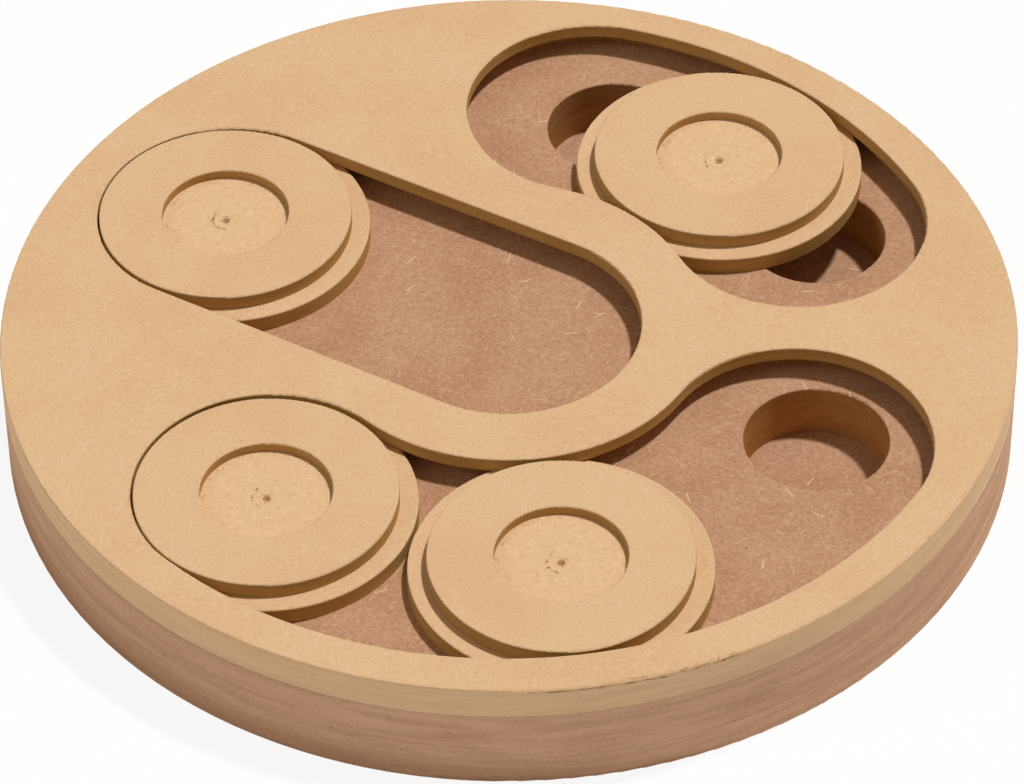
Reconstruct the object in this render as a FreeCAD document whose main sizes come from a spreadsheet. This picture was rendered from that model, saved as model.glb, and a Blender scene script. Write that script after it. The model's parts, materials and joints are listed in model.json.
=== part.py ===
import FreeCAD, Part
import math
import os
import Sketcher

# Round puzzle feeder for a dog: three round boards glued in a stack.
# The top plate has three undercut channels, and the board below it has the treat cups.
# Four flanged discs slide in the channels and cover the cups.
# Origin: centre of the underside. +Z is up, and the short channel lies to the back right.

os.makedirs("parts", exist_ok=True)
doc = FreeCAD.newDocument("puzzle_feeder")

# Driving dimensions in millimetres and degrees. Directions count from +X towards +Y.
SIZES = [
    ("top_plate_thickness", 9.4, "plate with the channels, so also the height of a disc"),
    ("cup_board_thickness", 15.9, "board with the cups, so also the depth of a cup"),
    ("bottom_board_thickness", 8.7, "board under the cups"),
    ("slider_top_diameter", 70, "upper part of a disc, which shows in the slot"),
    ("slider_flange_width", 5, "how far a disc's lower part stands out under the lips"),
    ("slider_flange_thickness", 5, "height of that lower part"),
    ("slider_gap", 0.6, "between the flanges of two discs side by side"),
    ("slider_play", 0.6, "how far a disc pushed to its channel's end or side lies past its path"),
    ("slot_clearance", 1, "between a disc's upper part and the lips"),
    ("groove_clearance", 1, "between a disc's flange and the groove"),
    ("lip_thickness", 4, "lips that hold the discs down"),
    ("recess_diameter", 35, "flat bored recess in a disc, for a nose or a paw"),
    ("recess_depth", 2.9, "depth of that recess"),
    ("spur_ring_diameter", 7, "shallow dish that the drill leaves round its point"),
    ("spur_ring_depth", 0.3, "depth of that dish"),
    ("pip_diameter", 2.4, "hole of the drill's point"),
    ("pip_depth", 1.4, "depth of that hole"),
    ("bridge_width", 18, "wall between the straight slot's inner end and the curved slots"),
    ("rim_width", 11.5, "wall between the slots and the board's edge"),
    ("straight_channel_angle", 149.5, "direction of the straight channel"),
    ("short_curve_left", 2.2, "centre of the short channel's curve, left of the board's centre"),
    ("short_curve_back", 3.2, "the same centre, behind the board's centre"),
    ("short_channel_start_angle", 24.5, "right end of the short curved channel, about that centre"),
    ("short_channel_end_angle", 72.5, "left end of the short curved channel, about that centre"),
    ("short_slider_angle", 46.7, "where its disc lies, about that centre"),
    ("long_channel_start_angle", 225, "left end of the long curved channel"),
    ("long_channel_end_angle", 327.6, "right end of the long curved channel"),
    ("cup_diameter", 39, "treat cups"),
    ("short_cup_offset", 6, "cups of the short channel, out from the discs' path"),
    ("short_cup_right_angle", 27.2, "right cup of the short channel"),
    ("short_cup_left_angle", 71, "left cup of the short channel"),
    ("long_cup_overrun_angle", 7.6, "end cups of the long channel, past the channel's ends"),
    ("edge_round", 0.5, "edges that hands and noses meet"),
    ("joint_line_break", 0.25, "upper outer edges of the brown boards"),
]

sheet = doc.addObject("Spreadsheet::Sheet", "sizes")
for row, (alias, number, note) in enumerate(SIZES, start=1):
    sheet.set(f"A{row}", note)
    sheet.set(f"B{row}", str(number))
    sheet.setAlias(f"B{row}", alias)
doc.recompute()

UP = FreeCAD.Vector(0, 0, 1)
CENTRE = FreeCAD.Vector(0, 0, 0)
HALF_TURN = math.pi
QUARTER_TURN = math.pi / 2
TOUCH = 0.001


class Size:
    """A dimension as its number now and as the expression that binds it to the sheet."""

    def __init__(self, number, text):
        self.number = number
        self.text = text

    def __add__(self, other):
        return Size(self.number + other.number, f"({self.text} + {other.text})")

    def __sub__(self, other):
        return Size(self.number - other.number, f"({self.text} - {other.text})")

    def half(self):
        return Size(self.number / 2, f"{self.text} / 2")

    def double(self):
        return Size(self.number * 2, f"{self.text} * 2")

    def radians(self):
        return math.radians(self.number)


def size(alias):
    return Size(float(sheet.get(alias)), "sizes." + alias)


ZERO = Size(0, "0")
CUP_FLOOR = size("bottom_board_thickness")
CHANNEL_FLOOR = CUP_FLOOR + size("cup_board_thickness")
SLOT_HALF = size("slider_top_diameter").half() + size("slot_clearance")
FLANGE_HALF = size("slider_top_diameter").half() + size("slider_flange_width")
GROOVE_HALF = FLANGE_HALF + size("groove_clearance")
GROOVE_DEPTH = size("top_plate_thickness") - size("lip_thickness")

# Path of the discs' centres about the board's centre, and the board outside it.
PITCH = SLOT_HALF.double() + size("bridge_width")
BOARD_DIAMETER = (PITCH + SLOT_HALF + size("rim_width")).double()

# Centre of each curve: the long channel's is the board's own.
CURVE_CENTRES = {
    "long": (ZERO, ZERO),
    "short": (ZERO - size("short_curve_left"), size("short_curve_back")),
}


def polar(radius, direction):
    turn = direction.radians()
    return FreeCAD.Vector(radius.number * math.cos(turn), radius.number * math.sin(turn), 0)


def new_body(name, height):
    body = doc.addObject("PartDesign::Body", name)
    body.Label = name
    body.setExpression("Placement.Base.z", height.text)
    return body


def new_sketch(body, name, role="XY_Plane", height=ZERO, centre=(ZERO, ZERO)):
    sketch = body.newObject("Sketcher::SketchObject", name)
    plane = next(item for item in body.Origin.OriginFeatures if item.Role == role)
    sketch.AttachmentSupport = [(plane, "")]
    sketch.MapMode = "FlatFace"
    for axis, offset in zip("xyz", (*centre, height)):
        sketch.setExpression("AttachmentOffset.Base." + axis, offset.text)
    return sketch


def hold(sketch, kind, *places):
    sketch.addConstraint(Sketcher.Constraint(kind, *places))


# A dimension of a sketch, tied to the sheet. Angles come in degrees and start in radians.
def drive(sketch, name, kind, value, *places):
    start = value.radians() if kind == "Angle" else value.number
    index = sketch.addConstraint(Sketcher.Constraint(kind, *places, start))
    sketch.renameConstraint(index, name)
    sketch.setExpression("Constraints." + name, value.text)


# Pocket of a sketch: down through everything, or up by a depth.
def cut(body, sketch, name, depth=None):
    before = body.Shape.Volume
    pocket = body.newObject("PartDesign::Pocket", name)
    pocket.Profile = sketch
    if depth:
        pocket.Reversed = True
        pocket.setExpression("Length", depth.text)
    else:
        pocket.Type = "ThroughAll"
    doc.recompute()
    if body.Shape.Volume > before - TOUCH:
        raise RuntimeError(name + " cuts nothing")


# Names of the edges that lie flat at a height over the body's own base.
def level_edges(body, height):
    level = body.Placement.Base.z + height.number
    names = []
    for number, edge in enumerate(body.Shape.Edges, start=1):
        box = edge.BoundBox
        if abs(box.ZMin - level) < TOUCH and abs(box.ZMax - level) < TOUCH:
            names.append(f"Edge{number}")
    return names


# Of those, the circle of a given diameter about the body's own axis.
def rim_edges(body, height, diameter):
    reach = body.Placement.Base.x + diameter.number / 2
    return [
        name for name in level_edges(body, height)
        if abs(body.Shape.getElement(name).BoundBox.XMax - reach) < TOUCH
    ]


def ease(body, kind, name, edges, field, value):
    base = body.Tip
    feature = body.newObject("PartDesign::" + kind, name)
    feature.Base = (base, edges)
    feature.setExpression(field, value.text)
    doc.recompute()


# Straight channel: from the board's centre out to the discs' path.
def straight_outline(sketch, half_width):
    direction = size("straight_channel_angle")
    turn = direction.radians()
    end = polar(PITCH, direction)
    side = FreeCAD.Vector(-math.sin(turn), math.cos(turn), 0) * half_width.number
    around_end = Part.Circle(end, UP, half_width.number)
    around_centre = Part.Circle(CENTRE, UP, half_width.number)
    sketch.addGeometry(Part.LineSegment(CENTRE, end), True)
    sketch.addGeometry(Part.LineSegment(side, end + side))
    sketch.addGeometry(Part.LineSegment(end - side, CENTRE - side))
    sketch.addGeometry(Part.ArcOfCircle(around_end, turn - QUARTER_TURN, turn + QUARTER_TURN))
    sketch.addGeometry(
        Part.ArcOfCircle(around_centre, turn + QUARTER_TURN, turn + QUARTER_TURN + HALF_TURN)
    )
    axis, left, right, outer, inner = range(5)
    hold(sketch, "Coincident", axis, 1, -1, 1)
    hold(sketch, "Coincident", inner, 3, -1, 1)
    hold(sketch, "Coincident", outer, 3, axis, 2)
    hold(sketch, "Tangent", left, 2, outer, 2)
    hold(sketch, "Tangent", outer, 1, right, 1)
    hold(sketch, "Tangent", right, 2, inner, 2)
    hold(sketch, "Tangent", inner, 1, left, 1)
    drive(sketch, "direction", "Angle", direction, axis)
    drive(sketch, "reach", "Distance", PITCH, axis)
    drive(sketch, "half_width", "Radius", half_width, outer)


# Curved channel: an arc about the sketch's origin with round ends.
def curved_outline(sketch, half_width, start, finish):
    low, high = start.radians(), finish.radians()
    near, far = polar(PITCH, start), polar(PITCH, finish)
    wide = Part.Circle(CENTRE, UP, (PITCH + half_width).number)
    narrow = Part.Circle(CENTRE, UP, (PITCH - half_width).number)
    around_near = Part.Circle(near, UP, half_width.number)
    around_far = Part.Circle(far, UP, half_width.number)
    sketch.addGeometry(Part.LineSegment(CENTRE, near), True)
    sketch.addGeometry(Part.LineSegment(CENTRE, far), True)
    sketch.addGeometry(Part.ArcOfCircle(wide, low, high))
    sketch.addGeometry(Part.ArcOfCircle(narrow, low, high))
    sketch.addGeometry(Part.ArcOfCircle(around_near, low - HALF_TURN, low))
    sketch.addGeometry(Part.ArcOfCircle(around_far, high, high + HALF_TURN))
    near_ray, far_ray, outer, inner, near_cap, far_cap = range(6)
    for ray in (near_ray, far_ray):
        hold(sketch, "Coincident", ray, 1, -1, 1)
    for arc in (outer, inner):
        hold(sketch, "Coincident", arc, 3, -1, 1)
    hold(sketch, "Coincident", near_cap, 3, near_ray, 2)
    hold(sketch, "Coincident", far_cap, 3, far_ray, 2)
    hold(sketch, "Tangent", outer, 2, far_cap, 1)
    hold(sketch, "Tangent", far_cap, 2, inner, 2)
    hold(sketch, "Tangent", inner, 1, near_cap, 1)
    hold(sketch, "Tangent", near_cap, 2, outer, 1)
    drive(sketch, "start", "Angle", start, near_ray)
    drive(sketch, "finish", "Angle", finish, far_ray)
    drive(sketch, "pitch", "Distance", PITCH, far_ray)
    drive(sketch, "half_width", "Radius", half_width, far_cap)


def channel_sketch(body, name, channel, half_width, height=ZERO):
    if channel == "straight":
        sketch = new_sketch(body, name, height=height)
        straight_outline(sketch, half_width)
    else:
        sketch = new_sketch(body, name, height=height, centre=CURVE_CENTRES[channel])
        ends = size(channel + "_channel_start_angle"), size(channel + "_channel_end_angle")
        curved_outline(sketch, half_width, *ends)
    return sketch


# A round board, padded from a circle about the origin.
def round_board(name, height):
    body = new_body(name, height)
    sketch = new_sketch(body, name + "_outline")
    sketch.addGeometry(Part.Circle(CENTRE, UP, BOARD_DIAMETER.number / 2))
    hold(sketch, "Coincident", 0, 3, -1, 1)
    drive(sketch, "across", "Diameter", BOARD_DIAMETER, 0)
    pad = body.newObject("PartDesign::Pad", name + "_pad")
    pad.Profile = sketch
    pad.setExpression("Length", size(name + "_thickness").text)
    doc.recompute()
    return body


# Top plate: each channel is a slot right through it and a wider groove from below.
def top_plate():
    thickness = size("top_plate_thickness")
    body = round_board("top_plate", CHANNEL_FLOOR)
    for channel in ("straight", "short", "long"):
        slot = channel_sketch(body, channel + "_slot_outline", channel, SLOT_HALF, thickness)
        cut(body, slot, channel + "_slot")
        groove = channel_sketch(body, channel + "_groove_outline", channel, GROOVE_HALF)
        cut(body, groove, channel + "_groove", GROOVE_DEPTH)
    rims = level_edges(body, thickness)
    ease(body, "Fillet", "plate_rim_round", rims, "Radius", size("edge_round"))
    return body


# Cups, each by its direction and its distance from the board's centre.
def cup_places():
    short_pitch = PITCH + size("short_cup_offset")
    long_start, long_end = size("long_channel_start_angle"), size("long_channel_end_angle")
    overrun = size("long_cup_overrun_angle")
    return {
        "straight_cup": (size("straight_channel_angle"), PITCH),
        "short_cup_right": (size("short_cup_right_angle"), short_pitch),
        "short_cup_left": (size("short_cup_left_angle"), short_pitch),
        "long_cup_left": (long_start - overrun, PITCH),
        "long_cup_middle": ((long_start + long_end).half(), PITCH),
        "long_cup_right": (long_end + overrun, PITCH),
    }


# Cup board: a round hole right through it for each cup.
def cup_board():
    thickness, across = size("cup_board_thickness"), size("cup_diameter")
    body = round_board("cup_board", CUP_FLOOR)
    for name, (direction, distance) in cup_places().items():
        sketch = new_sketch(body, name + "_outline", height=thickness)
        place = polar(distance, direction)
        sketch.addGeometry(Part.LineSegment(CENTRE, place), True)
        sketch.addGeometry(Part.Circle(place, UP, across.number / 2))
        hold(sketch, "Coincident", 0, 1, -1, 1)
        hold(sketch, "Coincident", 1, 3, 0, 2)
        drive(sketch, "direction", "Angle", direction, 0)
        drive(sketch, "distance", "Distance", distance, 0)
        drive(sketch, "across", "Diameter", across, 1)
        cut(body, sketch, name)
    outer = rim_edges(body, thickness, BOARD_DIAMETER)
    mouths = [name for name in level_edges(body, thickness) if name not in outer]
    ease(body, "Fillet", "cup_mouth_round", mouths, "Radius", size("edge_round"))
    joint_line(body, thickness)
    return body


# The upper outer edge of a brown board is broken, so that the joint above it shows as a line.
def joint_line(body, thickness):
    outer = rim_edges(body, thickness, BOARD_DIAMETER)
    name = body.Label + "_joint_line"
    ease(body, "Chamfer", name, outer, "Size", size("joint_line_break"))


# Bottom board: its upper face is the floor of the cups, and its lower face stands on the ground.
def bottom_board():
    body = round_board("bottom_board", ZERO)
    under = rim_edges(body, ZERO, BOARD_DIAMETER)
    ease(body, "Fillet", "foot_round", under, "Radius", size("edge_round"))
    joint_line(body, size("bottom_board_thickness"))
    return body


# Corners of a disc's section, from the underside's rim up and in over the top to the axis.
def slider_corners():
    top = size("slider_top_diameter").half()
    recess, pip = size("recess_diameter").half(), size("pip_diameter").half()
    shoulder, crown = size("slider_flange_thickness"), size("top_plate_thickness")
    floor = crown - size("recess_depth")
    dish = floor - size("spur_ring_depth")
    return [
        (FLANGE_HALF, ZERO),
        (FLANGE_HALF, shoulder),
        (top, shoulder),
        (top, crown),
        (recess, crown),
        (recess, floor),
        (size("spur_ring_diameter").half(), floor),
        (pip, dish),
        (ZERO, dish - size("pip_depth")),
    ]


def slider_section(sketch):
    corners = slider_corners()
    points = [CENTRE]
    points += [FreeCAD.Vector(radius.number, height.number, 0) for radius, height in corners]
    for here, after in zip(points, points[1:] + points[:1]):
        sketch.addGeometry(Part.LineSegment(here, after))
    for line in range(len(points)):
        hold(sketch, "Coincident", line, 2, (line + 1) % len(points), 1)
    hold(sketch, "Coincident", 0, 1, -1, 1)
    for line, (radius, height) in enumerate(corners):
        if radius is ZERO:
            hold(sketch, "PointOnObject", line, 2, -2)
        else:
            drive(sketch, f"radius_{line}", "DistanceX", radius, -1, 1, line, 2)
        if height is ZERO:
            hold(sketch, "PointOnObject", line, 2, -1)
        else:
            drive(sketch, f"height_{line}", "DistanceY", height, -1, 1, line, 2)


# A flanged disc: it stands on the channel's floor, with its top flush with the plate.
def slider(name, direction, radius=PITCH, centre=(ZERO, ZERO)):
    body = new_body(name, CHANNEL_FLOOR)
    for axis, turn, start in zip("xy", ("cos", "sin"), centre):
        place = f"{start.text} + {radius.text} * {turn}({direction})"
        body.setExpression("Placement.Base." + axis, place)
    section = new_sketch(body, name + "_section", role="XZ_Plane")
    slider_section(section)
    turned = body.newObject("PartDesign::Revolution", name + "_turned")
    turned.Profile = section
    turned.ReferenceAxis = (section, ["V_Axis"])
    turned.Angle = 360
    doc.recompute()
    crown = level_edges(body, size("top_plate_thickness"))
    shoulder = size("slider_flange_thickness")
    flange = rim_edges(body, shoulder, FLANGE_HALF.double())
    ease(body, "Fillet", name + "_round", crown + flange, "Radius", size("edge_round"))
    return body


# Places of the four discs. The right disc of the long channel lies beside the left one.
FLANGES = FLANGE_HALF.double() + size("slider_gap")
PUSHED_OUT = PITCH + size("slider_play")
LONG_START = size("long_channel_start_angle").text
BESIDE = f"2 * asin({FLANGES.text} / (2 * {PITCH.text}))"
SLIDERS = {
    "straight_slider": (size("straight_channel_angle").text, PUSHED_OUT),
    "short_slider": (size("short_slider_angle").text, PITCH, CURVE_CENTRES["short"]),
    "long_slider_left": (LONG_START, PUSHED_OUT),
    "long_slider_right": (f"{LONG_START} * 1 deg + {BESIDE}", PITCH),
}

pieces = [bottom_board(), cup_board(), top_plate()]
pieces += [slider(name, *place) for name, place in SLIDERS.items()]
doc.recompute()

for item in doc.Objects:
    if "Invalid" in item.State or "Error" in item.State:
        raise RuntimeError(item.Label + " did not build")
for piece in pieces:
    shape = piece.Shape
    if shape.isNull() or not shape.isValid() or len(shape.Solids) != 1:
        raise RuntimeError(piece.Label + " is not one valid solid")
for piece in pieces:
    piece.Shape.exportStep(f"parts/{piece.Label}.step")
    box = piece.Shape.BoundBox
    volume = piece.Shape.Volume / 1000
    print(f"{piece.Label}: {volume:.1f} cm3, from z {box.ZMin:.2f} to {box.ZMax:.2f}")
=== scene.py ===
import json
import math
import random

import bmesh
import bpy
from mathutils import Matrix, Vector


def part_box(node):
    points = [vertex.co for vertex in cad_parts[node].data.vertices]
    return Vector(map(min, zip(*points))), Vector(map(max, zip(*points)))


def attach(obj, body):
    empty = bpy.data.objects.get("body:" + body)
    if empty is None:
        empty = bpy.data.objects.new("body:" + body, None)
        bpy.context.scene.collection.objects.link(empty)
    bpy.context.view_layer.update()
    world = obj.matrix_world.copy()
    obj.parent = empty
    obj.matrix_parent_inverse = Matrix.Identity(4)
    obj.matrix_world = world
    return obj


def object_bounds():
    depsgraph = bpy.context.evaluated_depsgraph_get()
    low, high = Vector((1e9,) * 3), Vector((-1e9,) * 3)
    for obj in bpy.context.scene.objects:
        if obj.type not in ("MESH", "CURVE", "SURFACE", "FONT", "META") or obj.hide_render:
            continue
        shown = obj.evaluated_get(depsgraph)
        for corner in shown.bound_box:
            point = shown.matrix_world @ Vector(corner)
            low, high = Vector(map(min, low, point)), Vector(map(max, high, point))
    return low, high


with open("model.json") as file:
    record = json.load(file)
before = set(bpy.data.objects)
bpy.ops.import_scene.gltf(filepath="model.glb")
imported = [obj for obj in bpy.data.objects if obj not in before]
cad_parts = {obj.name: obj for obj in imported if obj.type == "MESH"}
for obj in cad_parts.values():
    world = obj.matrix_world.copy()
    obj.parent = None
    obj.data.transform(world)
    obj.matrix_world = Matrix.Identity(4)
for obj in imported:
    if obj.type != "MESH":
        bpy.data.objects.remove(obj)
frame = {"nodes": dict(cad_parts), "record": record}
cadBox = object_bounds()
nodes = frame["nodes"]
openings = {item["name"]: item["box_m"] for item in frame["record"]["physics"]["openings"]}
scene = bpy.context.scene
boardRadius = (cadBox[1].x - cadBox[0].x) / 2
print("frame loaded:", ", ".join(sorted(nodes)))


# Short words for the nodes of a material.
def newNode(tree, kind, settings=None, **inputs):
    made = tree.nodes.new("ShaderNode" + kind)
    for name, value in (settings or {}).items():
        setattr(made, name, value)
    for name, value in inputs.items():
        feed(tree, made.inputs[name.replace("_", " ")], value)
    return made


def feed(tree, socket, value):
    if isinstance(value, bpy.types.NodeSocket):
        tree.links.new(value, socket)
    else:
        socket.default_value = value


def calc(tree, operation, *values):
    made = newNode(tree, "Math", {"operation": operation})
    for socket, value in zip(made.inputs, values):
        feed(tree, socket, value)
    return made.outputs[0]


def product(tree, first, *others):
    for other in others:
        first = calc(tree, "MULTIPLY", first, other)
    return first


def vectorCalc(tree, operation, first, second):
    made = newNode(tree, "VectorMath", {"operation": operation})
    feed(tree, made.inputs[0], first)
    feed(tree, made.inputs["Scale" if operation == "SCALE" else 1], second)
    return made.outputs[0]


def split(tree, vector):  # its x, y and z
    return newNode(tree, "SeparateXYZ", Vector=vector).outputs


def ramp(tree, value, low, high, floor=0.0, top=1.0):  # smooth step from low to high
    made = newNode(tree, "MapRange", {"interpolation_type": "SMOOTHSTEP"})
    for name, number in (("Value", value), ("From Min", low), ("From Max", high),
                         ("To Min", floor), ("To Max", top)):
        feed(tree, made.inputs[name], number)
    return made.outputs[0]


def between(tree, value, low, high, soft):  # 1 from low to high, 0 outside
    return product(tree, ramp(tree, value, low - soft, low + soft), ramp(tree, value, high + soft, high - soft))


def blendColours(tree, share, below, above):
    made = newNode(tree, "Mix", {"data_type": "RGBA"})
    for index, value in ((0, share), (6, below), (7, above)):
        feed(tree, made.inputs[index], value)
    return made.outputs[2]


def reachFrom(tree, place, middle):  # distance from an upright axis
    away = vectorCalc(tree, "SUBTRACT", place, (middle[0], middle[1], 0))
    flat = vectorCalc(tree, "MULTIPLY", away, (1, 1, 0))
    return newNode(tree, "VectorMath", {"operation": "LENGTH"}, Vector=flat).outputs["Value"]


def clouds(tree, place, size, detail=3.0, rough=0.55):  # size of a blot in metres
    made = newNode(tree, "TexNoise", Vector=place, Scale=1 / size, Detail=detail, Roughness=rough)
    return made.outputs["Fac"]


dotCore = 0.4  # how much of a dot is full
hairForm = {"bend": 2.4, "core": 0.3, "solid": 0.7}  # bend, and how much of the width and length is full


def specks(tree, place, spacing, radius, share):  # dots in some of the cells
    cells = newNode(tree, "TexVoronoi", Vector=place, Scale=1 / spacing)
    near = ramp(tree, cells.outputs["Distance"], radius / spacing, dotCore * radius / spacing)
    pick = newNode(tree, "SeparateColor", Color=cells.outputs["Color"]).outputs[0]
    return product(tree, near, calc(tree, "LESS_THAN", pick, share))


def hairs(tree, place, spacing, length, width, share):  # short bent hairs on a level face, in some of the cells
    scaled = vectorCalc(tree, "SCALE", place, 1 / spacing)
    cells = newNode(tree, "TexVoronoi", {"voronoi_dimensions": "2D"}, Vector=scaled, Scale=1.0)
    x, y, _ = split(tree, vectorCalc(tree, "SUBTRACT", scaled, cells.outputs["Position"]))
    turnPick, bendPick, sharePick = newNode(tree, "SeparateColor", Color=cells.outputs["Color"]).outputs
    turn = calc(tree, "MULTIPLY", turnPick, 2 * math.pi)
    cosine, sine = calc(tree, "COSINE", turn), calc(tree, "SINE", turn)
    along = calc(tree, "ADD", product(tree, x, cosine), product(tree, y, sine))
    across = calc(tree, "SUBTRACT", product(tree, y, cosine), product(tree, x, sine))
    bend = product(tree, along, along, calc(tree, "SUBTRACT", bendPick, 0.5), hairForm["bend"])
    off = calc(tree, "ABSOLUTE", calc(tree, "SUBTRACT", across, bend))
    thin = ramp(tree, off, width / spacing, hairForm["core"] * width / spacing)
    half = 0.5 * length / spacing
    short = ramp(tree, calc(tree, "ABSOLUTE", along), half, hairForm["solid"] * half)
    return product(tree, thin, short, calc(tree, "LESS_THAN", sharePick, share))


def rgb(red, green, blue):  # a colour as it is seen, 0 to 255, to the shader's scale
    def linear(level):
        level /= 255
        return level / 12.92 if level <= 0.04045 else ((level + 0.055) / 1.055) ** 2.4
    return (linear(red), linear(green), linear(blue), 1.0)


def newMaterial(name, roughness, gloss=0.1):
    made = bpy.data.materials.new(name)
    made.use_nodes = True
    tree = made.node_tree
    tree.nodes.clear()
    shader = newNode(tree, "BsdfPrincipled", Roughness=roughness)
    shader.inputs["Specular IOR Level"].default_value = gloss
    output = newNode(tree, "OutputMaterial")
    tree.links.new(shader.outputs[0], output.inputs["Surface"])
    return made, tree, shader, output


# Fibreboard. Dots: spacing, radius, share of cells, strength, shade.
# Hairs: spacing, length, width, share of cells, strength.
paleBoard = {
    "face": rgb(223, 188, 147),
    "blotch": rgb(219, 182, 140),
    "blotchSize": 0.035,
    "gritSize": 0.0008,
    "gritShare": 0.30,
    "gritDark": rgb(194, 153, 110),
    "gritPale": rgb(240, 210, 172),
    "dots": [(0.0017, 0.00024, 0.35, 0.40, rgb(184, 141, 97)),
             (0.0019, 0.00024, 0.30, 0.40, rgb(243, 217, 182)),
             (0.0055, 0.00034, 0.22, 0.60, rgb(140, 100, 60))],
    "hairs": [(0.0045, 0.0034, 0.00017, 0.35, 0.35), (0.0070, 0.0046, 0.00020, 0.22, 0.30)],
    "hairShade": rgb(244, 218, 184),
    "side": rgb(231, 195, 157),
    "sideDark": rgb(216, 179, 141),
    # inner walls: a darker, more saturated copy of the side colour, painted shade for channels, cups, recesses and
    # disc sides, partly router-cut core
    "inner": rgb(194, 158, 99),
    "innerDark": rgb(178, 140, 82),
    # rounded rim edge of the plate: its own plain rim colour
    "rimEdgeAndPaintedLight": rgb(222, 184, 142),
    "edgeChip": rgb(164, 122, 78),
    "roughness": 0.85,
    "bump": 0.12,
}
brownBoard = {
    "face": rgb(192, 150, 119),
    "blotch": rgb(184, 141, 109),
    "blotchSize": 0.022,
    "gritSize": 0.0010,
    "gritShare": 0.45,
    "gritDark": rgb(152, 110, 82),
    "gritPale": rgb(218, 180, 150),
    "dots": [(0.0016, 0.00024, 0.40, 0.45, rgb(140, 98, 72)),
             (0.0019, 0.00024, 0.35, 0.45, rgb(228, 192, 162)),
             (0.0060, 0.00040, 0.28, 0.65, rgb(98, 64, 44))],
    "hairs": [(0.0042, 0.0022, 0.00018, 0.45, 0.32), (0.0060, 0.0030, 0.00022, 0.30, 0.40),
              (0.0130, 0.0042, 0.00032, 0.26, 0.70)],
    "hairShade": rgb(232, 200, 172),
    "side": rgb(215, 174, 143),
    "sideDark": rgb(190, 149, 119),
    # inner walls: a darker, more saturated copy of the side colour, painted shade for channels, cups and disc
    # sides, partly router-cut core
    "inner": rgb(186, 137, 82),
    "innerDark": rgb(166, 116, 64),
    # rounded rim edge: a near-white painted highlight that lightens the shade in the chamfers under the board
    # above
    "rimEdgeAndPaintedLight": rgb(252, 226, 198),
    "edgeChip": rgb(222, 184, 152),
    "roughness": 0.9,
    "bump": 0.18,
}
faceGrain = {"blotch": (0.35, 0.7), "gritMiddle": 0.5, "gritReach": 0.22, "hairShift": (0.31, 0.17),
             "hairLift": 1.0, "bumpDepth": 0.00015}
cutEdge = {
    "fine": (0.09, 0.0024, 0.35, 0.68, 0.7),  # streaks: run along the edge, size, start, full, strength
    "broad": (0.03, 0.0075, 0.48, 0.66, 0.9),
    "rimStart": 0.0012,  # depth from which a side has the colours of the outer edge
    "gritLeft": 0.5,
    "level": (0.2, 0.6),  # upright share of the normal, from a side to a face
    "rounded": (0.2, 0.95),
    "roundedSoft": 0.05,
    "rimShare": 0.8,
    "wearSize": 0.0016,
    "wear": (0.58, 0.68),
    "wearShare": 0.35,
    "wearLift": -1.0,
}


def cutSide(tree, rim, here, plan):  # sawn or routed edge: soft level streaks; inside the board darker and browner, partly the router-cut core and partly painted shade for the walls of the hollows
    def streaks(run, size, low, high, strength):
        level = vectorCalc(tree, "MULTIPLY", here, (run, run, 1))
        return product(tree, ramp(tree, clouds(tree, level, size, detail=4.0, rough=0.6), low, high), strength)
    mixed = calc(tree, "MAXIMUM", streaks(*cutEdge["fine"]), streaks(*cutEdge["broad"]))
    outer = blendColours(tree, mixed, plan["side"], plan["sideDark"])
    # walls inside the board (channels, cups, recesses, disc sides): painted shade mixed with the router-cut core
    # colour
    inner = blendColours(tree, mixed, plan["inner"], plan["innerDark"])
    return blendColours(tree, rim, inner, outer)


def startPaint(name, plan, offset):  # sanded face or cut side, with grit, dots, short hairs, worn edges, painted shade on the inner walls and a painted highlight on the brown rim chamfers
    made, tree, shader, _ = newMaterial(name, plan["roughness"])
    place = newNode(tree, "TexCoord").outputs["Object"]
    here = vectorCalc(tree, "ADD", place, offset)
    tilt = calc(tree, "ABSOLUTE", split(tree, newNode(tree, "NewGeometry").outputs["Normal"])[2])
    level = ramp(tree, tilt, *cutEdge["level"])
    rim = ramp(tree, reachFrom(tree, place, (0, 0)), boardRadius - 2 * cutEdge["rimStart"],
               boardRadius - cutEdge["rimStart"])
    blotch = ramp(tree, clouds(tree, here, plan["blotchSize"]), *faceGrain["blotch"])
    face = blendColours(tree, blotch, plan["face"], plan["blotch"])
    grit = clouds(tree, here, plan["gritSize"], detail=2.0, rough=0.7)
    paint = {"material": made, "tree": tree, "shader": shader, "place": place, "here": here, "tilt": tilt,
             "plan": plan, "colour": blendColours(tree, level, cutSide(tree, rim, here, plan), face),
             "height": calc(tree, "SUBTRACT", 1.0, grit)}
    strength = ramp(tree, tilt, *cutEdge["level"], cutEdge["gritLeft"] * plan["gritShare"], plan["gritShare"])
    middle, reach = faceGrain["gritMiddle"], faceGrain["gritReach"]
    lay(paint, product(tree, ramp(tree, grit, middle, middle + reach), strength), plan["gritDark"])
    lay(paint, product(tree, ramp(tree, grit, middle, middle - reach), strength), plan["gritPale"])
    for spacing, radius, share, strength, shade in plan["dots"]:
        lay(paint, product(tree, specks(tree, here, spacing, radius, share), strength), shade)
    layHairs(paint, plan["hairs"], faceGrain["hairShift"], level, plan["hairShade"], faceGrain["hairLift"])
    edge = between(tree, tilt, *cutEdge["rounded"], cutEdge["roundedSoft"])
    # rounded rim edges: a painted highlight on the brown boards' chamfers against the shade under the board above;
    # plain rim colour on the pale plate
    lay(paint, product(tree, edge, rim, cutEdge["rimShare"]), plan["rimEdgeAndPaintedLight"])
    wear = ramp(tree, clouds(tree, here, cutEdge["wearSize"], rough=0.7), *cutEdge["wear"])
    lay(paint, product(tree, edge, wear, cutEdge["wearShare"]), plan["edgeChip"], cutEdge["wearLift"])
    return paint


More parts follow.
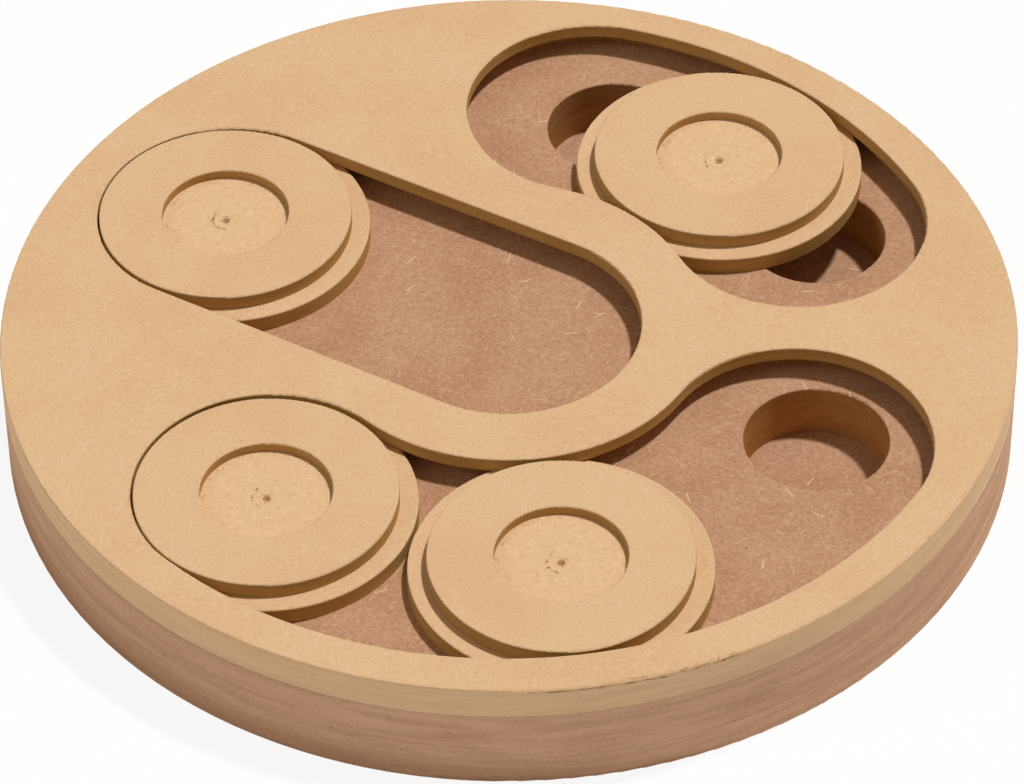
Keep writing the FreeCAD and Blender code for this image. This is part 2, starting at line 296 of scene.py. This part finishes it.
def layHairs(paint, layers, shift, where, shade, lift):
    tree = paint["tree"]
    for number, (spacing, length, width, share, strength) in enumerate(layers):
        moved = vectorCalc(tree, "ADD", paint["here"], (shift[0] * number, shift[1], 0))
        lying = hairs(tree, moved, spacing, length, width, share)
        lay(paint, product(tree, where, lying, strength), shade, lift)


def lay(paint, share, shade, lift=0.0):  # a shade on part of the surface, raised or sunk by lift
    tree = paint["tree"]
    paint["colour"] = blendColours(tree, share, paint["colour"], shade)
    if lift:
        paint["height"] = calc(tree, "ADD", paint["height"], product(tree, share, lift))


def finishPaint(paint):
    tree, shader = paint["tree"], paint["shader"]
    bump = newNode(tree, "Bump", Strength=paint["plan"]["bump"], Distance=faceGrain["bumpDepth"],
                   Height=paint["height"])
    tree.links.new(paint["colour"], shader.inputs["Base Color"])
    tree.links.new(bump.outputs[0], shader.inputs["Normal"])
    return paint["material"]


# Front of the rim, where the saw tore the plate's upper edge: places along X, in metres.
tornRim = {
    "front": (-0.85, -0.88),  # along Y, in shares of the radius
    "skin": (0.0009, 0.0005),
    "crack": (0.004, 0.027),
    "crackDepth": 0.0010,
    "crackHeight": 0.00016,
    "crackSoft": 0.00008,
    "crackEnds": 0.002,
    "brokenRun": 0.2,
    "brokenSize": 0.0011,
    "broken": (0.47, 0.53),
    "crackShare": 0.85,
    "crackShade": rgb(104, 68, 36),
    "crackLift": -3.0,
    "tear": (0.024, 0.060),
    "tearDepth": 0.0018,
    "tearFade": 0.4,
    "tearEnds": 0.004,
    "roughSize": 0.0013,
    "rough": (0.50, 0.58),
    "tearShare": 0.6,
    "tearShade": rgb(172, 126, 80),
    "tearLift": -2.0,
}


def plateMaterial():
    paint = startPaint("palePlate", paleBoard, (0, 0, 0))
    tree, here = paint["tree"], paint["here"]
    x, y, z = split(tree, paint["place"])
    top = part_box("top_plate")[1].z
    front = ramp(tree, y, *(share * boardRadius for share in tornRim["front"]))
    reach = reachFrom(tree, paint["place"], (0, 0))
    rim = ramp(tree, reach, *(boardRadius - depth for depth in tornRim["skin"]))
    level = vectorCalc(tree, "MULTIPLY", here, (tornRim["brokenRun"], tornRim["brokenRun"], 1))
    broken = ramp(tree, clouds(tree, level, tornRim["brokenSize"]), *tornRim["broken"])
    line = between(tree, z, top - tornRim["crackDepth"] - tornRim["crackHeight"],
                   top - tornRim["crackDepth"] + tornRim["crackHeight"], tornRim["crackSoft"])
    along = between(tree, x, *tornRim["crack"], tornRim["crackEnds"])
    crack = product(tree, front, rim, line, broken, along)
    lay(paint, product(tree, crack, tornRim["crackShare"]), tornRim["crackShade"], tornRim["crackLift"])
    rough = ramp(tree, clouds(tree, here, tornRim["roughSize"], detail=4.0, rough=0.7), *tornRim["rough"])
    near = ramp(tree, z, top - tornRim["tearDepth"], top - tornRim["tearFade"] * tornRim["tearDepth"])
    along = between(tree, x, *tornRim["tear"], tornRim["tearEnds"])
    tear = product(tree, front, rim, near, rough, along)
    lay(paint, product(tree, tear, tornRim["tearShare"]), tornRim["tearShade"], tornRim["tearLift"])
    return finishPaint(paint)


# Recess bored in each disc: its floor is torn and fluffy, most of all round the drill's point.
recess = {
    "depth": 0.0029,
    "radius": 0.0175,
    "sunk": (0.4, 0.6),  # shares of the depth
    "wall": (0.0001, -0.0002),  # from the radius
    "floorTilt": (0.3, 0.6),
    "floorShare": 0.75,
    "floor": rgb(226, 191, 148),
    "floorPale": rgb(240, 212, 172),
    "fluffSize": 0.0018,
    "fluffShare": 0.5,
    "fluff": [((0.52, 0.68), rgb(204, 165, 118), -1.5), ((0.46, 0.32), rgb(240, 212, 172), 1.5)],
    "hairs": [(0.0026, 0.0022, 0.00015, 0.6, 0.45), (0.0036, 0.0030, 0.00018, 0.5, 0.45)],
    "hairShift": (0.13, 0.07),
    "hairLift": 2.0,
    "torn": rgb(156, 114, 68),
    "raggedSize": 0.0012,
    "outerRing": (0.91, 0.985),  # shares of the radius
    "outerRagged": (0.54, 0.62),
    "outerSoft": 0.0003,
    "outerShare": 0.35,
    "outerLift": -1.0,
    "scarRing": (0.0033, 0.0043),
    "scarLeft": (-0.0006, -0.0016),
    "scarRagged": (0.46, 0.54),
    "scarSoft": 0.0002,
    "scarShare": 0.5,
    "scarLift": -3.0,
    "pointRadius": 0.0012,
    "pointCore": 0.7,
    "pointShare": 0.6,
}
sliders = {  # the body that each disc is, and how badly its recess is torn
    "straight_slider": {"body": "straight_disc", "torn": 1.0},
    "short_slider": {"body": "short_disc", "torn": 0.35},
    "long_slider_left": {"body": "long_disc_left", "torn": 0.5},
    "long_slider_right": {"body": "long_disc_right", "torn": 0.8},
}


def discMaterial(name, offset, torn):
    paint = startPaint("pale_" + name, paleBoard, offset)
    tree, here = paint["tree"], paint["here"]
    low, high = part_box(name)
    middle = (low + high) / 2
    reach = reachFrom(tree, paint["place"], middle)
    x, _, z = split(tree, paint["place"])
    sunk = ramp(tree, z, *(high.z - share * recess["depth"] for share in recess["sunk"]))
    inside = ramp(tree, reach, *(recess["radius"] + step for step in recess["wall"]))
    floor = product(tree, sunk, inside, ramp(tree, paint["tilt"], *recess["floorTilt"]))
    lay(paint, product(tree, floor, recess["floorShare"]), recess["floor"])
    fluff = clouds(tree, here, recess["fluffSize"], detail=5.0, rough=0.7)
    for span, shade, lift in recess["fluff"]:
        lay(paint, product(tree, floor, ramp(tree, fluff, *span), recess["fluffShare"]), shade, lift)
    layHairs(paint, recess["hairs"], recess["hairShift"], floor, recess["floorPale"], recess["hairLift"])
    ragged = clouds(tree, here, recess["raggedSize"])
    outer = between(tree, reach, *(share * recess["radius"] for share in recess["outerRing"]), recess["outerSoft"])
    outer = product(tree, outer, ramp(tree, ragged, *recess["outerRagged"]))
    lay(paint, product(tree, floor, outer, recess["outerShare"]), recess["torn"], recess["outerLift"])
    left = ramp(tree, x, *(middle.x + step for step in recess["scarLeft"]))
    scar = between(tree, reach, *recess["scarRing"], recess["scarSoft"])
    scar = product(tree, scar, left, ramp(tree, ragged, *recess["scarRagged"]))
    lay(paint, product(tree, floor, scar, recess["scarShare"] * torn), recess["torn"], recess["scarLift"])
    point = ramp(tree, reach, recess["pointRadius"], recess["pointCore"] * recess["pointRadius"])
    lay(paint, product(tree, inside, sunk, point, recess["pointShare"]), recess["torn"])
    return finishPaint(paint)


def dress(name, material):
    slots = nodes[name].data.materials
    slots.clear()
    slots.append(material)
    for face in nodes[name].data.polygons:
        face.material_index = 0  # the only slot


dress("top_plate", plateMaterial())
for count, (name, plan) in enumerate(sliders.items(), start=1):
    dress(name, discMaterial(name, (0.31 * count, 0.17 * count, 0.05), plan["torn"]))
for count, name in enumerate(("cup_board", "bottom_board")):
    dress(name, finishPaint(startPaint("brown_" + name, brownBoard, (0.27 * count, 0.4, 0))))
print("boards and discs dressed")


# Loose wood: slivers that stand up from the surfaces. Lengths, widths and heights in metres.
sliver = {"rings": 6, "corners": 6, "tip": 0.25}


def addSliver(mesh, middle, heading, out, length, width, height, bend):
    across = out.cross(heading)
    rings = []
    for step in range(sliver["rings"]):
        along = step / (sliver["rings"] - 1)
        arch = math.sin(math.pi * along)
        swell = sliver["tip"] + (1 - sliver["tip"]) * arch
        spine = middle + heading * (along - 0.5) * length + across * (bend * arch * length)
        ring = []
        for corner in range(sliver["corners"]):
            turn = 2 * math.pi * corner / sliver["corners"]
            side = across * (math.cos(turn) * swell * width / 2)
            ring.append(mesh.verts.new(spine + side + out * (math.sin(turn) * swell * height)))
        rings.append(ring)
    for first, second in zip(rings, rings[1:]):
        for corner in range(sliver["corners"]):
            after = (corner + 1) % sliver["corners"]
            mesh.faces.new((first[corner], first[after], second[after], second[corner]))
    mesh.faces.new(rings[0])
    mesh.faces.new(rings[-1])


def makePiece(name, mesh, material, body):
    bmesh.ops.recalc_face_normals(mesh, faces=mesh.faces)
    data = bpy.data.meshes.new(name)
    mesh.to_mesh(data)
    mesh.free()
    data.materials.append(material)
    piece = bpy.data.objects.new(name, data)
    scene.collection.objects.link(piece)
    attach(piece, body)


sliverLook = {"roughness": 0.85, "patchSize": 0.0012, "patch": (0.38, 0.62), "gritSize": 0.0004,
              "bump": 0.4, "bumpDepth": 0.0001}


def sliverMaterial(name, pale, dark):
    made, tree, shader, _ = newMaterial(name, sliverLook["roughness"])
    place = newNode(tree, "TexCoord").outputs["Object"]
    patch = ramp(tree, clouds(tree, place, sliverLook["patchSize"]), *sliverLook["patch"])
    colour = blendColours(tree, patch, pale, dark)
    grit = clouds(tree, place, sliverLook["gritSize"], detail=2.0)
    bump = newNode(tree, "Bump", Strength=sliverLook["bump"], Distance=sliverLook["bumpDepth"], Height=grit)
    tree.links.new(colour, shader.inputs["Base Color"])
    tree.links.new(bump.outputs[0], shader.inputs["Normal"])
    return made


up = Vector((0, 0, 1))


def flatHeading(turn):
    return Vector((math.cos(turn), math.sin(turn), 0))


def anyHeading(chance):
    return flatHeading(chance.uniform(0, 2 * math.pi))


def strew(mesh, chance, spot, heading, out, some):  # one sliver of some kind
    addSliver(mesh, spot, heading, out, chance.uniform(*some["length"]), chance.uniform(*some["width"]),
              chance.uniform(*some["height"]), chance.uniform(-some["bend"], some["bend"]))


litter = {  # in each recess; reach is the distance from its middle, jitter that of a place or a heading
    "fibres": {"count": 24, "reach": (0.0048, 0.0158), "length": (0.0008, 0.0022),
               "width": (0.00012, 0.00020), "height": (0.00003, 0.00006), "bend": 0.2},
    "crumbs": {"count": 11, "reach": (0.0015, 0.0019), "length": (0.0008, 0.0012),
               "width": (0.0004, 0.0006), "height": (0.00018, 0.00030), "bend": 0.1,
               "jitter": 0.2, "headingJitter": 0.4, "drop": 0.00022},
    "flecks": {"count": 10, "reach": (0.0034, 0.0044), "length": (0.0005, 0.0011),
               "width": (0.0002, 0.0004), "height": (0.00004, 0.00008), "bend": 0.15,
               "turns": (125, 265), "headingJitter": 0.5},
}


def litterRecess(name, plan, paleSliver, darkSliver):
    chance = random.Random(name)
    low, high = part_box(name)
    middle = (low + high) / 2
    middle.z = high.z - recess["depth"]
    fibres = bmesh.new()
    some = litter["fibres"]
    for _ in range(some["count"]):
        spot = middle + anyHeading(chance) * chance.uniform(*some["reach"])
        strew(fibres, chance, spot, anyHeading(chance), up, some)
    some = litter["crumbs"]
    for count in range(some["count"]):
        turn = 2 * math.pi * (count + chance.uniform(-some["jitter"], some["jitter"])) / some["count"]
        spot = middle + flatHeading(turn) * chance.uniform(*some["reach"]) - up * some["drop"]
        turn += math.pi / 2 + chance.uniform(-some["headingJitter"], some["headingJitter"])
        strew(fibres, chance, spot, flatHeading(turn), up, some)
    makePiece(name + "_fibres", fibres, paleSliver, plan["body"])
    flecks = bmesh.new()
    some = litter["flecks"]
    for _ in range(round(some["count"] * plan["torn"])):
        turn = math.radians(chance.uniform(*some["turns"]))
        spot = middle + flatHeading(turn) * chance.uniform(*some["reach"])
        turn += math.pi / 2 + chance.uniform(-some["headingJitter"], some["headingJitter"])
        strew(flecks, chance, spot, flatHeading(turn), up, some)
    makePiece(name + "_torn_flecks", flecks, darkSliver, plan["body"])


cupLitter = {"count": 11, "reach": 0.0165, "length": (0.0014, 0.0042), "width": (0.00014, 0.00024),
             "height": (0.00008, 0.00014), "bend": 0.25}


def litterCups(material):  # on the floor of each cup
    chance = random.Random("cups")
    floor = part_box("bottom_board")[1].z
    fibres = bmesh.new()
    for name, (low, high) in openings.items():
        if "_cup" not in name:
            continue
        middle = Vector(((low[0] + high[0]) / 2, (low[1] + high[1]) / 2, floor))
        for _ in range(cupLitter["count"]):
            reach = cupLitter["reach"] * math.sqrt(chance.random())
            spot = middle + anyHeading(chance) * reach
            strew(fibres, chance, spot, anyHeading(chance), up, cupLitter)
    makePiece("cup_floor_fibres", fibres, material, "board")


rimLitter = {"count": 18, "turns": (-86.5, -66.0), "drop": (0.0007, 0.0015), "length": (0.0012, 0.0038),
             "width": (0.00014, 0.00030), "height": (0.00004, 0.00008), "bend": 0.05}


def litterRim(material):  # on the torn front edge
    chance = random.Random("rim")
    top = cadBox[1].z
    splinters = bmesh.new()
    for _ in range(rimLitter["count"]):
        turn = math.radians(chance.uniform(*rimLitter["turns"]))
        out = flatHeading(turn)
        spot = out * boardRadius + up * (top - chance.uniform(*rimLitter["drop"]))
        strew(splinters, chance, spot, flatHeading(turn + math.pi / 2), out, rimLitter)
    makePiece("rim_splinters", splinters, material, "board")


paleSliver = sliverMaterial("paleSliver", rgb(246, 222, 188), rgb(222, 186, 142))
brownSliver = sliverMaterial("brownSliver", rgb(236, 206, 180), rgb(206, 166, 136))
darkSliver = sliverMaterial("darkSliver", rgb(178, 134, 84), rgb(132, 94, 52))
for name, plan in sliders.items():
    litterRecess(name, plan, paleSliver, darkSliver)
litterCups(brownSliver)
litterRim(darkSliver)
print("slivers laid")


# What the camera and mirrors see, rather than what lights the board.
def seenRays(tree):
    rays = newNode(tree, "LightPath").outputs
    seen = calc(tree, "MAXIMUM", rays["Is Camera Ray"], rays["Is Glossy Ray"])
    return calc(tree, "MAXIMUM", seen, rays["Is Transmission Ray"])


def mixShaders(tree, share, below, above):
    both = newNode(tree, "MixShader")
    for socket, value in zip(both.inputs, (share, below, above)):
        feed(tree, socket, value)
    return both.outputs[0]


# Floor: plain and pale, wide enough for every view, with a faint shadow under the board.
floorPlan = {"reach": 6.0, "colour": (0.97, 0.97, 0.97, 1.0), "roughness": 0.9, "whiteShare": 0.9}


def makeFloor():
    reach = floorPlan["reach"]
    mesh = bpy.data.meshes.new("studioFloor")
    corners = [(-reach, -reach, 0), (reach, -reach, 0), (reach, reach, 0), (-reach, reach, 0)]
    mesh.from_pydata(corners, [], [(0, 1, 2, 3)])
    floor = bpy.data.objects.new("studioFloor", mesh)
    scene.collection.objects.link(floor)
    material, tree, shader, output = newMaterial("studioFloor", floorPlan["roughness"])
    shader.inputs["Base Color"].default_value = floorPlan["colour"]
    white = newNode(tree, "Emission", Color=(1, 1, 1, 1), Strength=1.0)
    share = product(tree, seenRays(tree), floorPlan["whiteShare"])
    both = mixShaders(tree, share, shader.outputs[0], white.outputs[0])
    tree.links.new(both, output.inputs["Surface"])
    mesh.materials.append(material)


makeFloor()

# Light: a lamp high on the right and a little behind, a weak one low on the left, and a dim warm room.
studioLight = {
    "lamps": {
        "keyLamp": {"towards": (0.34, 0.19, 1.0), "strength": 2.43, "softness": math.radians(5)},
        "fillLamp": {"towards": (-0.8, -0.3, 0.6), "strength": 0.32, "softness": math.radians(25)},
    },
    "roomColour": (1.0, 0.79, 0.56, 1.0),
    "roomStrength": 0.23,
}


def makeLights():
    for name, plan in studioLight["lamps"].items():
        lamp = bpy.data.lights.new(name, "SUN")
        lamp.energy = plan["strength"]
        lamp.angle = plan["softness"]
        holder = bpy.data.objects.new(name, lamp)
        holder.rotation_mode = "QUATERNION"
        holder.rotation_quaternion = Vector(plan["towards"]).to_track_quat("Z", "Y")
        scene.collection.objects.link(holder)
    room = bpy.data.worlds.new("studioRoom")
    room.use_nodes = True
    tree = room.node_tree
    tree.nodes.clear()
    dim = newNode(tree, "Background", Color=studioLight["roomColour"], Strength=studioLight["roomStrength"])
    white = newNode(tree, "Background", Color=(1, 1, 1, 1), Strength=1.0)
    output = newNode(tree, "OutputWorld")
    both = mixShaders(tree, seenRays(tree), dim.outputs[0], white.outputs[0])
    tree.links.new(both, output.inputs["Surface"])
    scene.world = room


makeLights()
scene.view_settings.view_transform = "Standard"

# Camera: the viewing angle of the photograph, through a long lens.
photoCamera = {
    "elevation": math.radians(42.66),
    "distance": 1.4319,
    "lens": 186.04,
    "pan": math.radians(0.027),
    "tilt": math.radians(-0.756),
    "roll": math.radians(0.695),
    "aimForward": -0.0005,
    "sensor": 36,
    "clip": (0.05, 50),
}


def makeCamera():
    rise = photoCamera["elevation"]
    right = Vector((1, 0, 0))
    upright = Vector((0, math.sin(rise), math.cos(rise)))
    ahead = Vector((0, math.cos(rise), -math.sin(rise)))
    top = Vector((0, photoCamera["aimForward"], cadBox[1].z))
    pan, tilt, roll = (photoCamera[turn] for turn in ("pan", "tilt", "roll"))
    across = right * math.cos(pan) - ahead * math.sin(pan)
    level = right * math.sin(pan) + ahead * math.cos(pan)
    upper = upright * math.cos(tilt) - level * math.sin(tilt)
    axis = upright * math.sin(tilt) + level * math.cos(tilt)
    sideways = across * math.cos(roll) - upper * math.sin(roll)
    upwards = across * math.sin(roll) + upper * math.cos(roll)
    turned = Matrix((sideways, upwards, -axis)).transposed().to_4x4()
    camera = bpy.data.cameras.new("photoCamera")
    camera.lens = photoCamera["lens"]
    camera.sensor_width = photoCamera["sensor"]
    camera.clip_start, camera.clip_end = photoCamera["clip"]
    holder = bpy.data.objects.new("photoCamera", camera)
    holder.matrix_world = Matrix.Translation(top - ahead * photoCamera["distance"]) @ turned
    scene.collection.objects.link(holder)
    scene.camera = holder


makeCamera()
print("floor, lights and camera made")
